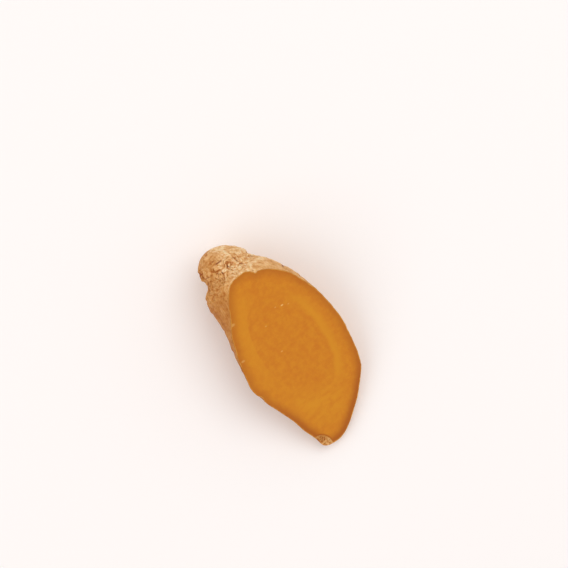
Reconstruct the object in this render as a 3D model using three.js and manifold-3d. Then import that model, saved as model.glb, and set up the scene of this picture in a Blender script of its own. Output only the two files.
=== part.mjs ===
// A turmeric finger, cut on a long slant: a blunt knob with a waist behind it, a body that widens and
// then narrows, and one flat cut that runs from behind the knob down to the far tip.
// Millimetres. +X runs from the knob to the cut tip, +Z is up, and +Y is to the left of someone who
// looks along +X. The root lies on z = 0, and the origin is under the middle of its bounding box.

import * as THREE from 'three';
import { mergeVertices } from 'three/addons/utils/BufferGeometryUtils.js';
import Module from 'manifold-3d';

// Overall sizes
const LENGTH = 57.8; // from the knob's end to the tip of the cut
const WIDTH = 28.5; // across the cut at its widest
const HEIGHT = 21.4; // from the table to the upper edge of the cut

// Knob and waist
const KNOB_LENGTH = 7.3; // from the knob's end to the waist
const KNOB_WIDTH = 13.2;
const KNOB_ROUNDING = 5.5; // length of the knob's rounded end
const WAIST_WIDTH = 14.0;

// Tail: the uncut root went on a little way past the tip
const TAIL_BEYOND_TIP = 3.5;
const TAIL_ROUNDING = 11.5;

// Cut
const CUT_TIP_HEIGHT = 2.1; // height of the cut over the table at the tip
const CUT_ROLL = THREE.MathUtils.degToRad(10); // sideways tilt, down towards +Y

// Patch of skin in a shallow hollow at the tip, which the knife passed over
const PATCH_LENGTH = 5.4;
const PATCH_WIDTH = 4.0;
const PATCH_DEPTH = 0.45;
const PATCH_TURN = THREE.MathUtils.degToRad(35);
const PATCH_FROM_TIP = 1.6;
const PATCH_SIDE = -0.26 * WIDTH;

// Relief of the skin
const BELLY_PRESS = 0.35; // how deep the underside is pressed flat
const RING_DEPTH = 0.3; // leaf scars that ring the root
const RING_HALF_WIDTH = 0.9;
const RING_WAVE = 0.5; // how far a ring wanders along the root

// Fineness of the faceted body
const CAP_STEPS = 8;
const LENGTH_STEPS = 50;
const STEPS_AROUND = 60;

const KNOB_END = -LENGTH / 2;
const WAIST = KNOB_END + KNOB_LENGTH;
const TIP = LENGTH / 2;
const BODY_LENGTH = TIP - WAIST;
const TAIL_END = TIP + TAIL_BEYOND_TIP;
const SHOULDER = WAIST + 0.05 * BODY_LENGTH;

const alongBody = (share) => WAIST + share * BODY_LENGTH;

// A section across the root. Its sideways middle is a share of WIDTH, and its underside and back are
// shares of HEIGHT.
const section = (x, width, middle, under, back) => ({
  x,
  width,
  middle: middle * WIDTH,
  under: under * HEIGHT - BELLY_PRESS,
  back: back * HEIGHT,
});

const SECTIONS = [
  section(KNOB_END, 0.85 * KNOB_WIDTH, -0.096, 0.275, 0.77),
  section(WAIST - 0.41 * KNOB_LENGTH, KNOB_WIDTH, -0.059, 0.225, 0.85),
  section(WAIST, WAIST_WIDTH, -0.039, 0.185, 0.88),
  section(SHOULDER, 0.64 * WIDTH, -0.037, 0.12, 1),
  section(alongBody(0.11), 0.73 * WIDTH, -0.014, 0.03, 1.04),
  section(alongBody(0.21), 0.815 * WIDTH, 0.025, 0, 1.09),
  section(alongBody(0.435), 0.982 * WIDTH, 0.03, 0, 1.27),
  section(alongBody(0.56), 1.03 * WIDTH, 0.026, 0, 1.28),
  section(alongBody(0.755), 0.887 * WIDTH, 0.054, 0, 1.11),
  section(alongBody(0.85), 0.72 * WIDTH, 0.002, 0.01, 0.99),
  section(alongBody(0.95), 0.545 * WIDTH, -0.07, 0.035, 0.82),
  section(TAIL_END, 0.41 * WIDTH, -0.165, 0.065, 0.63),
];

// Places of the relief: a share of the way along the body, and an angle around it from +Y to +Z
const RINGS = [0.13, 0.34, 0.57, 0.79];
const swelling = (along, degrees, radius, height) => ({
  along,
  angle: THREE.MathUtils.degToRad(degrees),
  radius,
  height,
});
const SWELLINGS = [
  swelling(0.36, -38, 2.4, 0.9), // bud
  swelling(0.2, 222, 2.4, 0.9), // bud
  swelling(0.098, 63, 1.6, -1.2), // notch at the upper end of the cut
  swelling(0.03, 52, 3.0, -0.4),
  swelling(0.2, 38, 3.0, 0.6),
  swelling(0.27, 150, 4.5, 0.5),
  swelling(0.98, 222, 2.4, 1.0), // corner of the tip
];

const bump = (distance) => Math.exp(-distance * distance);

// Cubic through the sections' values, with the slope of the two neighbours at each
function profile(key, x) {
  const last = SECTIONS.length - 1;
  const slope = (i) => {
    const before = SECTIONS[Math.max(i - 1, 0)];
    const after = SECTIONS[Math.min(i + 1, last)];
    return (after[key] - before[key]) / (after.x - before.x);
  };
  let i = 0;
  while (i < last - 1 && x > SECTIONS[i + 1].x) i += 1;
  const [a, b] = [SECTIONS[i], SECTIONS[i + 1]];
  const span = b.x - a.x;
  const t = THREE.MathUtils.clamp((x - a.x) / span, 0, 1);
  const ends = (2 * t ** 3 - 3 * t ** 2 + 1) * a[key] + (3 * t ** 2 - 2 * t ** 3) * b[key];
  return ends + span * (t * (1 - t) ** 2 * slope(i) - t ** 2 * (1 - t) * slope(i + 1));
}

// Height of the relief over the smooth section of that radius, at x and an angle around the root
function relief(x, angle, radius) {
  let height = 0;
  for (const along of RINGS) {
    const ring = alongBody(along) + RING_WAVE * Math.sin(2 * angle + 9 * along);
    height -= RING_DEPTH * bump((x - ring) / RING_HALF_WIDTH);
  }
  const distance = (spot) => {
    const around = 2 * radius * Math.sin((angle - spot.angle) / 2);
    return Math.hypot(x - alongBody(spot.along), around);
  };
  for (const spot of SWELLINGS) height += spot.height * bump(distance(spot) / spot.radius);
  return height;
}

// The uncut root: a unit capsule whose round ends, length and sections are carried onto the profile
function uncutRoot() {
  const straight = 2;
  const capsule = new THREE.CapsuleGeometry(1, straight, CAP_STEPS, STEPS_AROUND, LENGTH_STEPS);
  const place = capsule.attributes.position;
  const bodyStart = KNOB_END + KNOB_ROUNDING;
  const bodyEnd = TAIL_END - TAIL_ROUNDING;
  for (let i = 0; i < place.count; i += 1) {
    const along = place.getY(i);
    const fullness = Math.hypot(place.getX(i), place.getZ(i));
    const angle = Math.atan2(place.getX(i), place.getZ(i));
    let x = THREE.MathUtils.mapLinear(along, -straight / 2, straight / 2, bodyStart, bodyEnd);
    if (along < -straight / 2) x = bodyStart + KNOB_ROUNDING * (along + straight / 2);
    if (along > straight / 2) x = bodyEnd + TAIL_ROUNDING * (along - straight / 2);
    const halfWidth = profile('width', x) / 2;
    const [under, back] = [profile('under', x), profile('back', x)];
    const rise = fullness * relief(x, angle, halfWidth);
    const y = profile('middle', x) + (fullness * halfWidth + rise) * Math.cos(angle);
    const z = (under + back) / 2 + ((fullness * (back - under)) / 2 + rise) * Math.sin(angle);
    place.setXYZ(i, x, y, z);
  }
  return capsule;
}

// The knife's plane: down towards the tip, and rolled down towards +Y
const CUT_HIGH = 0.985 * HEIGHT;
const CUT_SLOPE = (CUT_HIGH - CUT_TIP_HEIGHT) / (TIP - SHOULDER);
const cutHeight = (x, y) => CUT_TIP_HEIGHT + CUT_SLOPE * (TIP - x) - Math.tan(CUT_ROLL) * y;
const CUT_NORMAL = new THREE.Vector3(CUT_SLOPE, Math.tan(CUT_ROLL), 1).normalize();
const CUT_TURN = new THREE.Quaternion().setFromUnitVectors(new THREE.Vector3(0, 0, 1), CUT_NORMAL);

// Everything over the cut
function cutAway() {
  const side = 3 * LENGTH;
  const box = new THREE.BoxGeometry(side, side, side).translate(0, 0, side / 2);
  return box.applyQuaternion(CUT_TURN).translate(0, 0, cutHeight(0, 0));
}

// Flat ellipsoid that leaves the hollow of the skin patch under the cut
function patchHollow() {
  const x = TIP - PATCH_FROM_TIP;
  const ball = new THREE.SphereGeometry(1, 40, 20);
  ball.scale(PATCH_LENGTH / 2, PATCH_WIDTH / 2, PATCH_DEPTH).rotateZ(PATCH_TURN);
  return ball.applyQuaternion(CUT_TURN).translate(x, PATCH_SIDE, cutHeight(x, PATCH_SIDE));
}

// Everything under the table, which leaves the flat face that the root lies on
function underTable() {
  const side = 3 * LENGTH;
  return new THREE.BoxGeometry(side, side, side).translate(0, 0, -side / 2);
}

const wasm = await Module();
wasm.setup();

function toSolid(geometry) {
  const bare = geometry.clone();
  bare.deleteAttribute('normal');
  bare.deleteAttribute('uv');
  const merged = mergeVertices(bare, 1e-5);
  return new wasm.Manifold(new wasm.Mesh({
    numProp: 3,
    vertProperties: new Float32Array(merged.attributes.position.array),
    triVerts: new Uint32Array(merged.index.array),
  }));
}

function toGeometry(solid) {
  const mesh = solid.getMesh();
  const geometry = new THREE.BufferGeometry();
  geometry.setAttribute('position', new THREE.BufferAttribute(mesh.vertProperties, 3));
  geometry.setIndex(new THREE.BufferAttribute(mesh.triVerts, 1));
  geometry.computeVertexNormals();
  return geometry;
}

// Moves a geometry so that the middle of its box is over the origin
function centred(geometry) {
  geometry.computeBoundingBox();
  const middle = geometry.boundingBox.getCenter(new THREE.Vector3());
  return geometry.translate(-middle.x, -middle.y, -geometry.boundingBox.min.z);
}

const cutRoot = [cutAway(), patchHollow(), underTable()].reduce(
  (solid, tool) => solid.subtract(toSolid(tool)),
  toSolid(uncutRoot()),
);

const flesh = new THREE.MeshStandardMaterial({ color: 0xcf8128, roughness: 0.55, metalness: 0 });
const root = new THREE.Mesh(centred(toGeometry(cutRoot)), flesh);
root.name = 'turmeric_root';

const turmeric = new THREE.Group();
turmeric.add(root);

export default turmeric;
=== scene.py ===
"""A finger of turmeric, cut on a long slant, that lies on a pale table with its cut facing up.

The root is shaped in millimetres, in the frame of the CAD part, and its mesh is written in metres.
"""

import math

import bmesh
import bpy
import numpy as np
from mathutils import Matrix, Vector
from mathutils.geometry import delaunay_2d_cdt
from mathutils.kdtree import KDTree


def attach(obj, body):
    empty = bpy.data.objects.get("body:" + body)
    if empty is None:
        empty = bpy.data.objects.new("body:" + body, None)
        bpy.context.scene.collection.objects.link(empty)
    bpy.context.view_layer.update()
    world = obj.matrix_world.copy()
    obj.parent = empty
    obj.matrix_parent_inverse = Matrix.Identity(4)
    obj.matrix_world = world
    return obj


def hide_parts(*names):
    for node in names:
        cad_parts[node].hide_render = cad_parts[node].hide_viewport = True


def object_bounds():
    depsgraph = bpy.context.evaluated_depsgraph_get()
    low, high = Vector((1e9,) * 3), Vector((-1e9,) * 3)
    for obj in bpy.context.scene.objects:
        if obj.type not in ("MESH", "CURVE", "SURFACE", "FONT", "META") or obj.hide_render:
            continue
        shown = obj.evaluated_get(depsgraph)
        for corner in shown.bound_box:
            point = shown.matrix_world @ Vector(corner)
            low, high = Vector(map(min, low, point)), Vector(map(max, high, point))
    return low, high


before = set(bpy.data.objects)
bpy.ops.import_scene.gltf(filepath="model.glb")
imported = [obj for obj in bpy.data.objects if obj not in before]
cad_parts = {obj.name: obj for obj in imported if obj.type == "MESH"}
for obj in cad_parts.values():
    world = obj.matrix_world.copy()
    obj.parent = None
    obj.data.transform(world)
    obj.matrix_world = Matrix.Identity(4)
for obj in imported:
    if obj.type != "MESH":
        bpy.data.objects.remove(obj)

NODE = "turmeric_root"
MM = 0.001
cad_low, cad_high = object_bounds()
LENGTH, WIDTH, HEIGHT = (np.array(cad_high) - np.array(cad_low)) / MM

# Places along the root
KNOB_END = -LENGTH / 2
KNOB_LENGTH = 0.126 * LENGTH
KNOB_ROUNDING = 0.095 * LENGTH
WAIST = KNOB_END + KNOB_LENGTH
TIP = LENGTH / 2
BODY_LENGTH = TIP - WAIST
TAIL_END = TIP + 0.06 * LENGTH  # the uncut root went on a little way past the tip
TAIL_ROUNDING = 0.2 * LENGTH


def along_body(share):
    return WAIST + share * BODY_LENGTH


SHOULDER = along_body(0.05)

# Sections of the smooth root: place along it, width and sideways middle as shares of WIDTH, and the
# height of the underside and of the back as shares of HEIGHT
SECTION_KEYS = ("place", "width", "middle", "under", "back")
SECTIONS = np.array([
    (KNOB_END, 0.394, -0.096, 0.275, 0.77),
    (WAIST - 0.41 * KNOB_LENGTH, 0.463, -0.059, 0.225, 0.85),
    (WAIST, 0.49, -0.039, 0.185, 0.88),
    (SHOULDER, 0.64, -0.037, 0.12, 1),
    (along_body(0.11), 0.73, -0.014, 0.03, 1.04),
    (along_body(0.21), 0.815, 0.025, 0, 1.09),
    (along_body(0.435), 0.982, 0.03, 0, 1.27),
    (along_body(0.56), 1.03, 0.026, 0, 1.28),
    (along_body(0.755), 0.887, 0.054, 0, 1.11),
    (along_body(0.85), 0.72, 0.002, 0.01, 0.99),
    (along_body(0.95), 0.545, -0.07, 0.035, 0.82),
    (TAIL_END, 0.41, -0.165, 0.065, 0.63),
])
BELLY_PRESS = 0.35  # how deep the table presses the underside flat

# The cut, down towards the tip and rolled down towards +Y
CUT_TIP_HEIGHT = 0.098 * HEIGHT
CUT_SLOPE = (0.985 * HEIGHT - CUT_TIP_HEIGHT) / (TIP - SHOULDER)
CUT_ROLL = math.tan(math.radians(10))
CUT_NORMAL = Vector((CUT_SLOPE, CUT_ROLL, 1)).normalized()
CUT_WELD = 0.03  # points as near as this to the knife's plane are taken to lie on it
CUT_MARK = -1  # the crevice that marks a point of the cut
EDGE_DULLING = 0.06  # how far the knife's edge sinks
EDGE_HALF_WIDTH = 0.2

# Patch of skin in a shallow hollow at the tip, which the knife passed over
PATCH_X = TIP - 1.6
PATCH_Y = -0.26 * WIDTH
PATCH_HALF_LENGTH = 2.7
PATCH_HALF_WIDTH = 2.0
PATCH_TURN = math.radians(35)
PATCH_DEPTH = 0.45
PATCH_WRINKLE_DEPTH = 0.3
PATCH_REACH = 3.0  # how far under the cut the skin still sinks with the hollow

# Size of the mesh's cells
KNOB_CELL = 0.17
KNOB_CELLS_END = SHOULDER + 4
CELL = 0.24
CUT_CELL = 0.3

# Leaf scars that ring the root: place along it, depth and half width
RINGS = [
    (WAIST - 0.72 * KNOB_LENGTH, 0.10, 0.35),
    (WAIST - 0.50 * KNOB_LENGTH, 0.16, 0.30),
    (WAIST - 0.20 * KNOB_LENGTH, 0.22, 0.35),
    (along_body(0.010), 0.30, 0.50),
    (along_body(0.055), 0.20, 0.40),
    (along_body(0.13), 0.30, 0.55),
    (along_body(0.225), 0.22, 0.50),
    (along_body(0.34), 0.30, 0.60),
    (along_body(0.455), 0.22, 0.50),
    (along_body(0.57), 0.30, 0.60),
    (along_body(0.68), 0.22, 0.50),
    (along_body(0.79), 0.28, 0.60),
    (along_body(0.90), 0.22, 0.50),
]

# Round scars of buds and rootlets: share of the way along the body, angle in degrees from +Y to +Z,
# radius and height
SCARS = [
    (0.36, -38, 2.4, 0.9),
    (0.20, 222, 2.4, 0.9),
    (0.62, 212, 1.3, 0.35),
    (0.50, -64, 1.1, 0.3),
    (0.72, -52, 1.2, 0.3),
    (0.10, -40, 1.1, 0.3),
    (0.44, 246, 1.0, 0.3),
    (0.30, 196, 0.9, 0.25),
    (0.84, 232, 1.0, 0.25),
]

# Swellings, or hollows where the height is negative, given as the round scars are
SWELLINGS = [
    (0.097, 63, 1.55, -1.2),
    (0.03, 52, 3.0, -0.4),
    (0.20, 38, 3.0, 0.6),
    (0.27, 150, 4.5, 0.5),
    (0.605, 184, 0.9, -0.5),
    (0.98, 222, 2.4, 1.0),
]

# Places where the knob's skin curls up in flakes: share of the way along the body, angle and radius
FLAKES = [
    (-0.015, 80, 3.2),
    (0.0, 112, 3.0),
    (-0.07, 165, 1.9),
    (0.05, 150, 2.4),
]

# Short creases in the upper side: share of the way along the body, place across as a share of WIDTH,
# half length, the angle in degrees that they make with the root, and strength from 0 to 1
CREASES = [
    (-0.064, -0.078, 1.25, -88, 1.0),
    (-0.084, -0.113, 0.45, -56, 0.5),
    (-0.019, -0.024, 0.75, 24, 0.6),
    (-0.038, 0.059, 0.6, 54, 0.5),
    (-0.019, 0.064, 0.5, 79, 0.5),
    (0.003, 0.085, 0.8, 61, 0.6),
    (-0.010, -0.099, 0.6, -3, 0.7),
    (-0.022, -0.133, 0.65, 63, 0.5),
    (0.065, 0.140, 0.5, 45, 0.4),
    (0.001, 0.196, 0.6, 13, 0.4),
    (0.076, -0.300, 0.2, 9, 0.5),
    (0.093, -0.225, 0.3, -14, 0.5),
    (-0.033, -0.228, 0.9, 70, 0.5),
    (-0.007, -0.263, 0.85, -78, 0.5),
]
CREASE_DEPTH = 0.27
CREASE_HALF_WIDTH = 0.17


# ---------------------------------------------------------------- repeatable noise


def scramble(cells, seed):
    """A repeatable random number from -1 to 1 for each whole-numbered cell."""
    n = cells[..., 0] * 73856093 ^ cells[..., 1] * 19349663 ^ cells[..., 2] * 83492791 ^ seed * 2654435
    n = (n ^ (n >> 13)) * 1274126177 & 0xFFFFFFFF
    n = (n ^ (n >> 15)) * 2246822519 & 0xFFFFFFFF
    return ((n >> 7) & 0xFFFF) / 32767.5 - 1


def noise(places, size, seed=0):
    """Gradient noise, about -1 to 1, whose lumps are about size across. size may differ by axis.

    Each pattern of the root has a seed of its own.
    """
    p = places / np.asarray(size, float)
    cell = np.floor(p).astype(np.int64)
    f = p - cell
    fade = f * f * f * (f * (f * 6 - 15) + 10)
    total = 0
    for corner in np.ndindex(2, 2, 2):
        corner = np.array(corner)
        weight = np.prod(np.where(corner, fade, 1 - fade), axis=-1)
        slopes = [scramble(cell + corner, seed * 3 + axis + 1) for axis in range(3)]
        total = total + weight * sum(slopes[axis] * (f - corner)[..., axis] for axis in range(3))
    return 1.6 * total


def layered(places, size, layers, seed=0):
    """Noise with finer and weaker layers added."""
    return sum(noise(places, np.asarray(size) / 2**i, seed + i) / 2**i for i in range(layers))


def ridges(places, size, seed=0):
    """Noise with sharp crests, 0 to 1."""
    return np.clip(1 - 2 * np.abs(noise(places, size, seed)), 0, 1)


def smooth(value, low, high):
    """0 under low and 1 over high, and the other way round if low is over high."""
    t = np.clip((value - low) / (high - low), 0, 1)
    return t * t * (3 - 2 * t)


def bump(distance):
    """A soft hump: 1 at its middle and nearly 0 from a distance of 2."""
    return np.exp(-distance * distance)


# ---------------------------------------------------------------- shape of the skin


def profile(x, key):
    """One of the sections' values at x: a cubic with the slope of the two neighbours at each section."""
    places, values = SECTIONS[:, 0], SECTIONS[:, SECTION_KEYS.index(key)]
    slopes = np.gradient(values, places)
    slopes[1:-1] = (values[2:] - values[:-2]) / (places[2:] - places[:-2])
    i = np.clip(np.searchsorted(places, x, side="right") - 1, 0, len(places) - 2)
    span = places[i + 1] - places[i]
    t = (x - places[i]) / span
    ends = (2 * t**3 - 3 * t**2 + 1) * values[i] + (3 * t**2 - 2 * t**3) * values[i + 1]
    return ends + span * (t * (1 - t) ** 2 * slopes[i] - t**2 * (1 - t) * slopes[i + 1])


def cut_height(x, y):
    """Height of the knife's plane over the table."""
    return CUT_TIP_HEIGHT + CUT_SLOPE * (TIP - x) - CUT_ROLL * y


def patch_distance(x, y):
    """Distance from the middle of the skin patch, 1 at the patch's edge."""
    dx, dy = x - PATCH_X, y - PATCH_Y
    along = dx * math.cos(PATCH_TURN) + dy * math.sin(PATCH_TURN)
    across = dy * math.cos(PATCH_TURN) - dx * math.sin(PATCH_TURN)
    return np.hypot(along / PATCH_HALF_LENGTH, across / PATCH_HALF_WIDTH)


class Skin:
    """Points of the smooth root, with what the relief needs to know about each.

    knob is 1 on the knob. hidden is 1 where the skin is under the cut and faces sideways or down. bent
    and curled are the points pushed about a little, so that patterns made from them aren't straight.
    """

    def __init__(self, points, angle, radius):
        self.points = points
        self.x, self.y, z = points.T
        self.angle = angle
        self.radius = radius
        self.knob = smooth(self.x, WAIST + 5.5, WAIST + 0.5)
        under_cut = smooth(cut_height(self.x, self.y) - z, 0.3, 2.5)
        self.hidden = under_cut * smooth(np.sin(angle), 0.6, 0.1)
        self.slice = points * (0, 1, 1)
        bend = np.stack([noise(points, 2.2, seed) for seed in (21, 22, 23)], axis=1)
        self.bent = points + 0.8 * bend
        self.curled = points + (0.4 + 1.1 * self.knob)[:, None] * bend

    def distance(self, along, degrees):
        """Distance over the skin from a share of the way along the body and an angle from +Y to +Z."""
        side = 2 * self.radius * np.sin((self.angle - math.radians(degrees)) / 2)
        return np.hypot(self.x - WAIST - along * BODY_LENGTH, side)


def lumps(skin):
    """Height of the broad unevenness, and how low between its lumps each point lies, 0 to 1, for painted
    shade in the hollows.
    """
    height = (0.12 + 0.14 * skin.knob) * layered(skin.points, 7.0, 2, 1)
    height = height + (0.04 + 0.24 * skin.knob + 0.08 * skin.hidden) * noise(skin.bent, 3.0, 5)
    small = noise(skin.curled, 1.9, 6)
    return height + (0.03 + 0.19 * skin.knob) * small, smooth(small, 0.3, -0.7)


def leaf_scars(skin):
    """Height, and depth in a crevice from 0 to 1, of the rings that leaves left."""
    height, crevice = 0, 0
    for seed, (place, depth, half_width) in enumerate(RINGS, 1):
        wander = 0.75 * noise(skin.slice, 6.0, 40 + seed) + 0.3 * noise(skin.slice, 1.6, 60 + seed)
        offset = (skin.x - place - wander) / half_width
        strength = np.clip(0.7 + 0.8 * noise(skin.points, 3.2, 80 + seed), 0.15, 1)
        strength = strength * (0.2 + 0.8 * np.maximum(0.7 * skin.knob, skin.hidden))
        lip = 0.45 * bump((offset + 1.7) / 1.2)
        height = height + depth * strength * (lip - bump(offset))
        broken = smooth(noise(skin.points, 2.8, 100 + seed), -0.55, 0.15)
        seen = broken * strength * (0.2 + 0.8 * skin.hidden)
        crevice = np.maximum(crevice, min(1, 4 * depth) * seen * bump(1.7 * offset))
    return height, crevice


def flakes(skin):
    """Height of the peeling edges, where the skin curls up, and the shade at their feet, 0 to 1."""
    spots = [bump(skin.distance(along, degrees) / size) for along, degrees, size in FLAKES]
    where = np.maximum(np.max(spots, axis=0), 0.3 * smooth(noise(skin.points, 3.4, 9), -0.1, 0.4))
    where = where * (0.15 + 0.85 * skin.knob)
    level = noise(skin.curled, (1.5, 1.2, 1.2), 13) + 0.45 * noise(skin.curled, 0.7, 14)
    foot = bump((level + 0.12) / 0.12)
    return where * (0.45 * smooth(level, -0.12, 0.18) - 0.2 * foot), where * foot


def wrinkles(skin):
    """Height of the fine wrinkles, and how deep in their folds each point lies, 0 to 1, for painted
    shade.
    """
    along = ridges(skin.bent, (2.4, 0.75, 0.75), 11) ** 3
    across = ridges(skin.bent, (0.7, 2.2, 2.2), 12) ** 3
    pebbles = 0.65 * noise(skin.bent, 1.2, 15) + 0.35 * noise(skin.points, 0.6, 16)
    strong = 0.3 + 0.7 * skin.knob
    height = strong * (0.16 * pebbles - 0.08 * along - 0.08 * across)
    return height, 0.25 * along + 0.25 * across + 0.3 * smooth(pebbles, 0.1, -0.5)


def bud_scars(skin):
    """Height and crevice of the round scars: a low hump with a raised ring and a pit in its middle."""
    height, crevice = 0, 0
    for along, degrees, size, rise in SCARS:
        distance = skin.distance(along, degrees) + 0.18 * size * noise(skin.points, 0.8 * size, 17)
        height = height + rise * bump(distance / size)
        height = height + 0.25 * rise * bump((distance - 0.62 * size) / (0.16 * size))
        height = height - 0.35 * rise * bump(distance / (0.22 * size))
        broken = smooth(noise(skin.points, 0.6 * size, 18), -0.3, 0.5)
        crevice = np.maximum(crevice, 0.7 * broken * bump((distance - 0.42 * size) / (0.14 * size)))
    return height, crevice


def creases(skin):
    """How deep in a short crease each point lies, 0 to 1."""
    deepest = 0
    wobble = 0.15 * noise(skin.points, 0.9, 30)
    for along, side, half_length, degrees, strength in CREASES:
        dx, dy = skin.x - WAIST - along * BODY_LENGTH, skin.y - side * WIDTH
        turn = math.radians(degrees)
        lengthwise = (dx * math.cos(turn) + dy * math.sin(turn)) / half_length
        across = (dy * math.cos(turn) - dx * math.sin(turn) + wobble) / CREASE_HALF_WIDTH
        deepest = np.maximum(deepest, strength * bump(across) * np.clip(1 - lengthwise**2, 0, 1))
    return (np.sin(skin.angle) > 0) * deepest


def skin_relief(points, angle, radius):
    """Height of the skin over the smooth root, painted shade for its folds and hollows, and how deep in a
    crevice it is, 0 to 1.
    """
    skin = Skin(points, angle, radius)
    ring_height, ring_crevice = leaf_scars(skin)
    bud_height, bud_crevice = bud_scars(skin)
    flake_height, flake_foot = flakes(skin)
    fine_height, fold_shade = wrinkles(skin)
    crack = creases(skin)
    lump_height, low = lumps(skin)
    height = lump_height + ring_height + bud_height + flake_height + fine_height - CREASE_DEPTH * crack
    for along, degrees, size, rise in SWELLINGS:
        height += rise * bump(skin.distance(along, degrees) / size)

    # The broken dark lines along the flakes' feet are painted shade
    broken = smooth(noise(points, 1.5, 31), 0.0, 0.4) * smooth(flake_foot, 0.4, 1)
    crevice = np.max([ring_crevice, bud_crevice, 0.8 * broken, np.minimum(1, 1.6 * crack)], axis=0)
    # The second value is painted shade: in the wrinkles' folds, low between the lumps and at the flakes'
    # feet
    return height, np.clip(fold_shade + 0.25 * low + 0.75 * flake_foot, 0, 1), crevice


def patch_wrinkles(points):
    """How deep in a wrinkle of the skin patch each point lies, 0 to 1."""
    inside = smooth(patch_distance(points[:, 0], points[:, 1]), 1.0, 0.8)
    bent = points + 0.4 * noise(points, 1.4, 34)[:, None]
    return inside * ridges(bent, (0.6, 0.9, 6), 33) ** 2


# ---------------------------------------------------------------- mesh of the whole root


def rows_of_points():
    """Place along the root and fullness, 0 to 1, of each ring of points from the knob to the tail."""
    knob_arc = 0.26 * WIDTH * math.pi / 2
    knob_turns = np.linspace(0, math.pi / 2, round(knob_arc / KNOB_CELL))[1:]
    tail_turns = np.linspace(math.pi / 2, 0, round(TAIL_ROUNDING / CELL))[:-1]
    knob_body = np.arange(KNOB_END + KNOB_ROUNDING, KNOB_CELLS_END, KNOB_CELL)[1:]
    long_body = np.arange(knob_body[-1], TAIL_END - TAIL_ROUNDING - CELL / 2, CELL)[1:]
    body = np.concatenate([knob_body, long_body])
    x = np.concatenate([
        KNOB_END + KNOB_ROUNDING * (1 - np.cos(knob_turns)),
        body,
        TAIL_END - TAIL_ROUNDING * (1 - np.cos(tail_turns)),
    ])
    fullness = np.concatenate([np.sin(knob_turns), np.ones(len(body)), np.sin(tail_turns)])
    return x, fullness


def closed_faces(rows, columns):
    """Faces of rings of points, closed by two points that follow them, one for each end."""
    row, column = np.meshgrid(np.arange(rows - 1), np.arange(columns), indexing="ij")
    here, after = row * columns + column, row * columns + (column + 1) % columns
    quads = np.stack([here, here + columns, after + columns, after], axis=-1).reshape(-1, 4)
    faces = quads[:, ::-1].tolist()
    first, last = rows * columns, rows * columns + 1
    top = (rows - 1) * columns
    ring = range(columns)
    following = [*ring[1:], 0]
    faces += [(first, a, b) for a, b in zip(following, ring)]
    faces += [(last, top + a, top + b) for a, b in zip(ring, following)]
    return faces


def uncut_root():
    """Points of the whole root, the crevice and painted shade of folds of each, and the faces between
    them.
    """
    x, fullness = rows_of_points()
    rows = len(x)
    columns = round(math.pi * WIDTH / CELL)
    turns = np.arange(columns) * (2 * math.pi / columns)
    around = np.stack([np.cos(turns), np.sin(turns)], axis=1)
    half_width = profile(x, "width") * WIDTH / 2
    middle = profile(x, "middle") * WIDTH
    under = profile(x, "under") * HEIGHT - BELLY_PRESS
    back = profile(x, "back") * HEIGHT
    axis = np.stack([x, middle, (under + back) / 2], axis=1)
    spread = np.stack([fullness * half_width, fullness * (back - under) / 2], axis=1)

    rings = np.repeat(axis[:, None], columns, axis=1)
    rings[..., 1:] += spread[:, None] * around
    points = rings.reshape(-1, 3)
    height, fold_shade, crevice = skin_relief(points, np.tile(turns, rows), np.repeat(half_width, columns))
    rise = np.repeat(fullness, columns) * height
    points[:, 1:] += rise[:, None] * np.tile(around, (rows, 1))
    ends = [
        (KNOB_END, profile(KNOB_END, "middle") * WIDTH, axis[0, 2]),
        (TAIL_END, profile(TAIL_END, "middle") * WIDTH, axis[-1, 2]),
    ]
    points = np.concatenate([points, ends])
    values = np.concatenate([np.stack([crevice, fold_shade], axis=1), np.zeros((2, 2))])
    return points, values, closed_faces(rows, columns)


# ---------------------------------------------------------------- the cut


def search_tree(places):
    """A tree that finds the nearest of the places."""
    tree = KDTree(len(places))
    for i, place in enumerate(places):
        tree.insert(place, i)
    tree.balance()
    return tree


def cut_root(points, values, faces):
    """A bmesh of the root with everything over the cut gone, and the cut filled with fine triangles."""
    mesh = bpy.data.meshes.new(NODE + "_fine")
    mesh.from_pydata(points.tolist(), [], faces)
    bm = bmesh.new()
    bm.from_mesh(mesh)
    bpy.data.meshes.remove(mesh)
    layers = [bm.verts.layers.float.new(name) for name in ("crevice", "fold_shade")]
    for vert, row in zip(bm.verts, values.tolist()):
        for layer, value in zip(layers, row):
            vert[layer] = value
    bmesh.ops.recalc_face_normals(bm, faces=bm.faces)
    bmesh.ops.bisect_plane(
        bm,
        geom=[*bm.verts, *bm.edges, *bm.faces],
        dist=CUT_WELD,
        plane_co=(0, 0, cut_height(0, 0)),
        plane_no=CUT_NORMAL,
        clear_outer=True,
    )
    fill_cut(bm)
    return bm


def grid_over(rim_places):
    """Places of a triangular grid over the box of the rim, without those that are close to the rim."""
    tree = search_tree([(*place, 0) for place in rim_places])
    low = Vector(map(min, *rim_places))
    high = Vector(map(max, *rim_places))
    row_step = CUT_CELL * math.sqrt(3) / 2
    grid = []
    for row in range(int((high.y - low.y) / row_step) + 1):
        for column in range(int((high.x - low.x) / CUT_CELL) + 1):
            place = Vector((low.x + (column + row % 2 / 2) * CUT_CELL, low.y + row * row_step))
            if tree.find((*place, 0))[2] > 0.6 * CUT_CELL:
                grid.append(place)
    return grid


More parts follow.
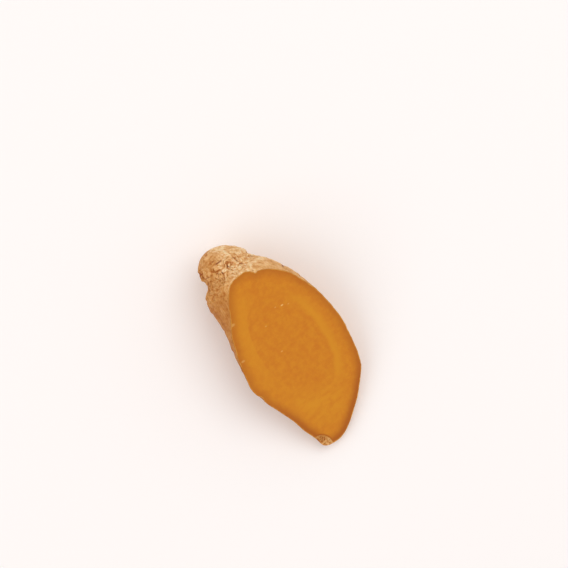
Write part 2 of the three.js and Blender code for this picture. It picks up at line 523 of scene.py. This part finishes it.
def fill_cut(bm):
    """Fills the cut with triangles, and marks the points that this adds."""
    rim = [edge for edge in bm.edges if edge.is_boundary]
    bm.verts.index_update()
    rim_verts = sorted({vert for edge in rim for vert in edge.verts}, key=lambda vert: vert.index)
    number = {vert: i for i, vert in enumerate(rim_verts)}
    along = Vector((1, 0, -CUT_SLOPE)).normalized()
    across = CUT_NORMAL.cross(along)
    rim_places = [Vector((vert.co.dot(along), vert.co.dot(across))) for vert in rim_verts]
    edges = [(number[edge.verts[0]], number[edge.verts[1]]) for edge in rim]
    every_place = rim_places + grid_over(rim_places)
    places, _, triangles, origins, _, _ = delaunay_2d_cdt(every_place, edges, [], 1, 1e-6)

    lift = CUT_NORMAL * cut_height(0, 0) * CUT_NORMAL.z
    mark = bm.verts.layers.float["crevice"]
    verts = {}
    for i in dict.fromkeys(i for triangle in triangles for i in triangle):
        source = origins[i][0] if origins[i] else len(rim_places)
        if source < len(rim_places):
            verts[i] = rim_verts[source]
        else:
            verts[i] = bm.verts.new(along * places[i].x + across * places[i].y + lift)
            verts[i][mark] = CUT_MARK
    for triangle in triangles:
        face = bm.faces.new([verts[i] for i in triangle])
        face.normal_update()
        if face.normal.dot(CUT_NORMAL) < 0:
            face.normal_flip()
    for edge in rim:
        edge.smooth = False


def distance_inside(mesh, points, on_cut):
    """Distance from the skin for each point of the cut, and minus the depth under the cut elsewhere."""
    rim = {i for edge in mesh.edges if edge.use_edge_sharp for i in edge.vertices}
    tree = search_tree([points[i] for i in sorted(rim)])
    x, y, z = points.T
    inset = np.minimum(z - cut_height(x, y), 0)
    for i in np.nonzero(on_cut)[0]:
        inset[i] = tree.find(points[i])[2]
    outside_patch = (patch_distance(x, y) - 1) * PATCH_HALF_WIDTH
    return np.where(on_cut, np.minimum(inset, np.clip(4 * outside_patch, 0, None)), inset)


def knife_waves(points):
    """Height of the low waves and fine drag marks that the knife left on the cut."""
    flesh = points * (1, 1, 0)
    return 0.05 * noise(flesh, (9, 5, 1), 50) + 0.012 * noise(flesh, (0.9, 3.5, 1), 51)


def finish_shape(points, on_cut, inset):
    """Carves the patch's hollow, dulls the knife's edge, and presses the underside flat."""
    x, y, z = points.T
    depth = np.clip(cut_height(x, y) - z, 0, None)
    near_cut = np.clip(1 - depth / PATCH_REACH, 0, 1) ** 2
    hollow = PATCH_DEPTH * np.sqrt(np.clip(1 - patch_distance(x, y) ** 2, 0, 1))
    hollow += PATCH_WRINKLE_DEPTH * patch_wrinkles(points)
    z = z - hollow * near_cut
    z = z + on_cut * smooth(inset, 0, 2) * knife_waves(points)
    z = z - EDGE_DULLING * bump(inset / EDGE_HALF_WIDTH) * (depth < 0.01)
    points[:, 2] = np.maximum(z, 0)
    return points


def read_values(data, key, width=1):
    """A property of each item of the data, as rows of that width."""
    values = np.empty(len(data) * width, np.float32)
    data.foreach_get(key, values)
    return values.astype(float).reshape(-1, width).squeeze()


def write_values(mesh, name, values):
    """Gives each point of the mesh its value of the named attribute."""
    layer = mesh.attributes.get(name) or mesh.attributes.new(name, "FLOAT", "POINT")
    layer.data.foreach_set("value", values.astype(np.float32))


def link(thing):
    bpy.context.scene.collection.objects.link(thing)


def build_root():
    """The root's object. Its points carry how deep they lie in a crevice, the painted shade of their
    folds, and the inset.
    """
    bm = cut_root(*uncut_root())
    mesh = bpy.data.meshes.new(NODE + "_mesh")
    bm.to_mesh(mesh)
    bm.free()
    points = read_values(mesh.vertices, "co", 3)
    crevice = read_values(mesh.attributes["crevice"].data, "value")
    on_cut = crevice < CUT_MARK / 2
    inset = distance_inside(mesh, points, on_cut)
    # Painted shade also goes into the wrinkles of the tip's patch
    fold_shade = np.maximum(read_values(mesh.attributes["fold_shade"].data, "value"), patch_wrinkles(points))
    points = finish_shape(points, on_cut, inset)

    low, high = points.min(axis=0), points.max(axis=0)
    points[:, :2] -= (low[:2] + high[:2]) / 2
    mesh.vertices.foreach_set("co", (points * MM).astype(np.float32).ravel())
    write_values(mesh, "crevice", np.clip(crevice, 0, 1))
    write_values(mesh, "fold_shade", fold_shade)
    write_values(mesh, "inset", inset)
    mesh.shade_smooth()
    mesh.update()
    root = bpy.data.objects.new(NODE + "_fine", mesh)
    link(root)
    return root


# ---------------------------------------------------------------- materials


def colour(code):
    """A linear colour from a hexadecimal sRGB code."""
    parts = [int(code[i : i + 2], 16) / 255 for i in (0, 2, 4)]
    return (*(c / 12.92 if c <= 0.04045 else ((c + 0.055) / 1.055) ** 2.4 for c in parts), 1.0)


FLESH_DARK = colour("C97615")
FLESH_LIGHT = colour("D08318")
FLESH_FIBRE = colour("C47013")
FLESH_PALE = colour("D38A19")
FLESH_RIM = colour("AC5C10")
# Painted highlight along the cut's edge
FLESH_EDGE_HIGHLIGHT = colour("D99A3A")
SPECK = colour("F0C878")
# Painted shade colour for the skin's folds
SKIN_FOLD_SHADE = colour("B5602A")
SKIN_CREVICE = colour("843A16")
TABLE = colour("FAF5F3")
SKIN_TONES = [
    (0.0, colour("8F4614")),
    (0.2, colour("B0671E")),
    (0.45, colour("CF924E")),
    (0.7, colour("E9B679")),
    (1.0, colour("FFE6B8")),
]

# Pattern of the cut, in shares of the length and width: an oval core with a paler ring round it, and
# a pale zone towards the tip
CORE_CENTRE = (0.043 * LENGTH, 0.014 * WIDTH)
CORE_HALF = (0.25 * LENGTH, 0.29 * WIDTH)
PALE_CENTRE = (0.29 * LENGTH, -0.06 * WIDTH)
PALE_HALF = (0.19 * LENGTH, 0.34 * WIDTH)

# Pale specks and chips in the flesh: place, half width and strength
SPECKS = [
    (-0.121 * LENGTH, 0.144 * WIDTH, 0.24, 0.65),
    (-0.130 * LENGTH, 0.085 * WIDTH, 0.18, 0.25),
    (-0.110 * LENGTH, 0.195 * WIDTH, 0.18, 0.25),
    (-0.087 * LENGTH, -0.077 * WIDTH, 0.18, 0.25),
    (0.041 * LENGTH, -0.091 * WIDTH, 0.2, 0.35),
    (-0.174 * LENGTH, -0.306 * WIDTH, 0.45, 0.3),
    (-0.021 * LENGTH, -0.416 * WIDTH, 0.35, 0.3),
]


class Painter:
    """Adds nodes to a material. An input may be a number, a colour, a place or another node's socket."""

    def __init__(self, name):
        self.material = bpy.data.materials.new(name)
        self.material.use_nodes = True
        self.nodes = self.material.node_tree.nodes
        self.links = self.material.node_tree.links
        self.shader = self.nodes["Principled BSDF"]

    def put(self, socket, value):
        if isinstance(value, bpy.types.NodeSocket):
            self.links.new(value, socket)
        else:
            socket.default_value = value

    def add(self, kind, inputs, output=0, **settings):
        node = self.nodes.new(kind)
        for key, value in settings.items():
            setattr(node, key, value)
        for key, value in inputs.items():
            self.put(node.inputs[key], value)
        return node.outputs[output]

    def attribute(self, name):
        return self.add("ShaderNodeAttribute", {}, "Fac", attribute_name=name)

    def math(self, operation, a, b):
        return self.add("ShaderNodeMath", {0: a, 1: b}, operation=operation)

    def product(self, first, *others):
        for other in others:
            first = self.math("MULTIPLY", first, other)
        return first

    def total(self, first, *others):
        for other in others:
            first = self.math("ADD", first, other)
        return first

    def ramp(self, value, low, high, to_low=0.0, to_high=1.0):
        """Goes softly from to_low to to_high as the value goes from low to high."""
        inputs = {"Value": value, "From Min": low, "From Max": high, "To Min": to_low, "To Max": to_high}
        return self.add("ShaderNodeMapRange", inputs, interpolation_type="SMOOTHSTEP")

    def stretch(self, place, factors):
        """The place times the factors: a pattern made from it is drawn out where a factor is under 1."""
        return self.add("ShaderNodeVectorMath", {0: place, 1: factors}, operation="MULTIPLY")

    def oval(self, place, centre, half_size):
        """Distance over the cut from the centre of an oval, 1 on the oval itself."""
        back = (-centre[0], -centre[1], 0)
        moved = self.add("ShaderNodeVectorMath", {0: place, 1: back}, operation="ADD")
        scaled = self.stretch(moved, (1 / half_size[0], 1 / half_size[1], 0))
        return self.add("ShaderNodeVectorMath", {0: scaled}, "Value", operation="LENGTH")

    def part(self, place, axis):
        return self.add("ShaderNodeSeparateXYZ", {0: place}, axis)

    def noise(self, place, size, detail=2.0, roughness=0.5, warp=0.0):
        inputs = {"Vector": place, "Scale": 1 / size, "Detail": detail}
        inputs |= {"Roughness": roughness, "Distortion": warp}
        return self.add("ShaderNodeTexNoise", inputs)

    def tones(self, value, stops):
        """The colour at a value, between stops that each give a value and its colour."""
        node = self.nodes.new("ShaderNodeValToRGB")
        elements = node.color_ramp.elements
        elements.remove(elements[0])
        elements[0].position = stops[0][0]
        elements[0].color = stops[0][1]
        for place, tone in stops[1:]:
            elements.new(place).color = tone
        self.links.new(value, node.inputs["Fac"])
        return node.outputs["Color"]

    def between(self, factor, a, b):
        """The number a where the factor is 0, and b where it is 1."""
        return self.add("ShaderNodeMix", {"Factor": factor, "A": a, "B": b})

    def mix(self, factor, a, b):
        """The colour a where the factor is 0, and b where it is 1."""
        node = self.nodes.new("ShaderNodeMix")
        node.data_type = "RGBA"
        self.put(node.inputs["Factor"], factor)
        self.put(node.inputs["A"], a)
        self.put(node.inputs["B"], b)
        return node.outputs["Result"]


def pale_zones(p, place):
    """How pale the flesh is, 0 to 1: round the core, and in streaks towards the tip."""
    x, y = p.part(place, "X"), p.part(place, "Y")
    core = p.oval(place, CORE_CENTRE, CORE_HALF)
    core = p.total(core, p.ramp(p.noise(place, 4.0), 0.25, 0.75, -0.03, 0.03))

    # The core's -Y side has a wide pale zone, and its +Y side has a narrow ring
    minus_side = p.ramp(y, 0.05 * WIDTH, -0.2 * WIDTH)
    wide = p.product(p.ramp(core, 0.97, 1.03), p.ramp(core, 1.6, 1.05, 0.2, 0.6))
    wide = p.product(wide, minus_side, p.ramp(x, 10.0, -2.0, 0.5, 1.0))
    plus_side = p.ramp(y, 0.05 * WIDTH, 0.2 * WIDTH)
    ring = p.product(p.ramp(core, 0.92, 1.06, 0.0, 0.85), p.ramp(core, 1.36, 1.06))
    start = p.ramp(x, -0.19 * LENGTH, -0.06 * LENGTH)
    end = p.ramp(x, 0.36 * LENGTH, 0.22 * LENGTH)
    ring = p.product(ring, plus_side, start, end)

    tip = p.oval(place, PALE_CENTRE, PALE_HALF)
    streaks = p.noise(p.stretch(place, (1.0, 0.3, 1.0)), 1.3, 3.0, 0.6, 0.5)
    tip = p.product(p.ramp(tip, 1.0, 0.3), p.ramp(core, 0.7, 1.15))
    tip = p.product(tip, p.ramp(streaks, 0.35, 0.65, 0.25, 0.9))
    return p.math("MAXIMUM", p.math("MAXIMUM", wide, ring), tip)


def paint_flesh(p, place, inset):
    """Colour of the cut: an orange core, paler zones round it, a rim that darkens to the skin and a
    painted edge highlight.
    """
    mottle = p.noise(place, 1.3, 4.0, 0.65)
    fibres = p.noise(p.stretch(place, (1.0, 0.25, 1.0)), 0.8, 3.0, 0.6, 0.3)
    base = p.mix(p.ramp(mottle, 0.3, 0.7), FLESH_DARK, FLESH_LIGHT)
    base = p.mix(p.ramp(fibres, 0.5, 0.75, 0.0, 0.45), base, FLESH_FIBRE)
    base = p.mix(pale_zones(p, place), base, FLESH_PALE)

    rim = p.math("POWER", p.ramp(inset, 3.2, 0.0), 1.3)
    towards_tip = p.ramp(p.part(place, "X"), 0.1 * LENGTH, 0.45 * LENGTH, 0.65, 1.25)
    base = p.mix(p.product(rim, towards_tip), base, FLESH_RIM)
    for x, y, size, strength in SPECKS:
        speck = p.oval(place, (x, y), (size, 2 * size))
        base = p.mix(p.ramp(speck, 1.0, 0.4, 0.0, strength), base, SPECK)
    # Painted highlight: a thin pale line along the cut's edge, in patches
    patchy = p.ramp(p.noise(place, 2.2), 0.35, 0.6, 0.1, 0.9)
    edge = p.product(p.ramp(inset, 0.35, 0.12), patchy)
    return p.mix(edge, base, FLESH_EDGE_HIGHLIGHT)


def paint_skin(p, place):
    """Colour of the skin: tan to cream, reddish brown in crevices, and painted shade in folds, at the
    flakes' feet and on the -Y side.
    """
    crevice, fold_shade = p.attribute("crevice"), p.attribute("fold_shade")
    x, y, z = (p.part(place, axis) for axis in "XYZ")
    knob = p.ramp(x, -0.20 * LENGTH, -0.40 * LENGTH)
    tip = p.ramp(x, 0.42 * LENGTH, 0.46 * LENGTH)
    # Painted shade in folds, hollows and at the flakes' feet, strongest on the knob and at the tip
    fold_shade_strength = p.total(p.ramp(knob, 0.0, 1.0, 0.2, 0.6), p.product(tip, 0.4))
    # Painted shade: the skin on the -Y side is darker, less so near the table
    painted_side_shade = p.product(p.ramp(y, -7.0, 0.0, -0.31, 0.0), p.ramp(z, 1.0, 8.0, 0.4, 1.0))
    fibres = p.noise(p.stretch(place, (0.25, 1.0, 1.0)), 0.4, 3.0, 0.65, 0.4)
    level = p.total(
        p.ramp(knob, 0.0, 1.0, 0.64, 0.935),
        painted_side_shade,
        p.product(tip, 0.17),
        p.product(fold_shade, fold_shade_strength, -1.0),
        p.ramp(p.noise(place, 3.5, 3.0, 0.6), 0.25, 0.75, -0.11, 0.11),
        p.ramp(fibres, 0.3, 0.7, -0.07, 0.06),
        p.ramp(p.noise(place, 0.3, 3.0, 0.7), 0.3, 0.7, -0.045, 0.035),
    )
    base = p.tones(level, SKIN_TONES)
    # More painted shade, in a reddish brown, in the knob's folds
    base = p.mix(p.ramp(p.product(fold_shade, knob), 0.1, 1.0, 0.0, 0.4), base, SKIN_FOLD_SHADE)
    # Reddish brown in the crevices, which along the flakes' feet is painted shade
    return p.mix(p.ramp(crevice, 0.15, 0.95, 0.0, 0.8), base, SKIN_CREVICE)


def roughen(p, place, on_cut):
    """Papery skin, and flesh that is moist in places."""
    flesh_rough = p.ramp(p.noise(place, 1.2, 3.0, 0.6), 0.3, 0.7, 0.38, 0.55)
    skin_rough = p.ramp(p.noise(place, 0.8, 3.0, 0.6), 0.3, 0.7, 0.6, 0.85)
    return p.between(on_cut, skin_rough, flesh_rough)


def fine_relief(p, place, on_cut):
    """The finest grain, as bump: grain and lengthwise fibres in the skin, and fibres in the flesh."""
    grain = p.noise(place, 0.3, 5.0, 0.65)
    skin_fibres = p.noise(p.stretch(place, (0.2, 1.0, 1.0)), 0.35, 3.0, 0.6)
    flesh_fibres = p.noise(p.stretch(place, (1.0, 0.3, 1.0)), 0.5, 3.0, 0.6)
    height = p.between(on_cut, p.total(grain, skin_fibres), p.product(flesh_fibres, 0.18))
    return p.add("ShaderNodeBump", {"Height": height, "Strength": 0.8, "Distance": 0.2 * MM})


def root_material():
    p = Painter("turmeric")
    metres = p.add("ShaderNodeTexCoord", {}, "Object")
    place = p.add("ShaderNodeVectorMath", {0: metres, "Scale": 1 / MM}, operation="SCALE")
    inset = p.attribute("inset")
    on_cut = p.ramp(inset, 0.02, 0.14)
    tone = p.mix(on_cut, paint_skin(p, place), paint_flesh(p, place, inset))
    p.put(p.shader.inputs["Base Color"], tone)
    p.put(p.shader.inputs["Roughness"], roughen(p, place, on_cut))
    p.put(p.shader.inputs["Normal"], fine_relief(p, place, on_cut))
    p.shader.inputs["Specular IOR Level"].default_value = 0.25
    p.shader.inputs["Subsurface Weight"].default_value = 0.05
    p.shader.inputs["Subsurface Radius"].default_value = (1.0, 0.4, 0.1)
    p.shader.inputs["Subsurface Scale"].default_value = 0.8 * MM
    return p.material


def table_material():
    p = Painter("pale_table")
    p.shader.inputs["Base Color"].default_value = TABLE
    p.shader.inputs["Roughness"].default_value = 0.7
    return p.material


# ---------------------------------------------------------------- the scene

VIEW_TURN = math.radians(54.3)  # how far the camera is turned about the vertical
VIEW_WIDTH = 142 * MM  # what the camera sees across the middle height of the root
VIEW_CENTRE = (-10.95 * MM, 7.6 * MM)  # the place that the camera is over
VIEW_DISTANCE = 1.2

TABLE_HALF_SIDE = 3.0
TABLE_GAP = 0.02 * MM  # between the table and the root's flat underside
WORLD_TONE = (1, 0.98, 0.97, 1)
WORLD_STRENGTH = 0.67


def add_camera():
    """A camera that looks straight down on the root, from far off."""
    data = bpy.data.cameras.new("camera")
    data.sensor_width = 36
    data.lens = data.sensor_width * VIEW_DISTANCE / VIEW_WIDTH
    data.clip_end = 10
    camera = bpy.data.objects.new("camera", data)
    camera.location = (*VIEW_CENTRE, VIEW_DISTANCE + 0.45 * HEIGHT * MM)
    camera.rotation_euler = (0, 0, VIEW_TURN)
    link(camera)
    bpy.context.scene.camera = camera


def from_view(right, up, height):
    """A place given by metres to the right of and up from the origin, as the camera sees them."""
    turn = Vector((math.cos(VIEW_TURN), math.sin(VIEW_TURN)))
    rise = Vector((-math.sin(VIEW_TURN), math.cos(VIEW_TURN)))
    return (*(right * turn + up * rise), height)


def add_light(name, place, size, power):
    """A round soft light that faces the origin."""
    data = bpy.data.lights.new(name, "AREA")
    data.shape = "DISK"
    data.size = size
    data.energy = power
    lamp = bpy.data.objects.new(name, data)
    lamp.location = place
    lamp.rotation_euler = (-Vector(place)).to_track_quat("-Z", "Y").to_euler()
    link(lamp)


def add_table():
    mesh = bpy.data.meshes.new("table")
    side = TABLE_HALF_SIDE
    corners = [(-side, -side, 0), (side, -side, 0), (side, side, 0), (-side, side, 0)]
    mesh.from_pydata(corners, [], [(0, 1, 2, 3)])
    mesh.materials.append(table_material())
    table = bpy.data.objects.new("table", mesh)
    table.location.z = -TABLE_GAP
    link(table)


def add_daylight():
    """Pale light from all round."""
    world = bpy.data.worlds.new("studio")
    world.use_nodes = True
    background = world.node_tree.nodes["Background"]
    background.inputs["Color"].default_value = WORLD_TONE
    background.inputs["Strength"].default_value = WORLD_STRENGTH
    bpy.context.scene.world = world
    bpy.context.scene.view_settings.view_transform = "Standard"


add_camera()
add_table()
add_light("key", from_view(0.26, 0.31, 0.84), size=0.8, power=2.8)
add_light("fill", from_view(-0.6, -0.3, 0.7), size=0.9, power=2.15)
add_daylight()
root = build_root()
root.data.materials.append(root_material())
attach(root, "root")
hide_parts(NODE)
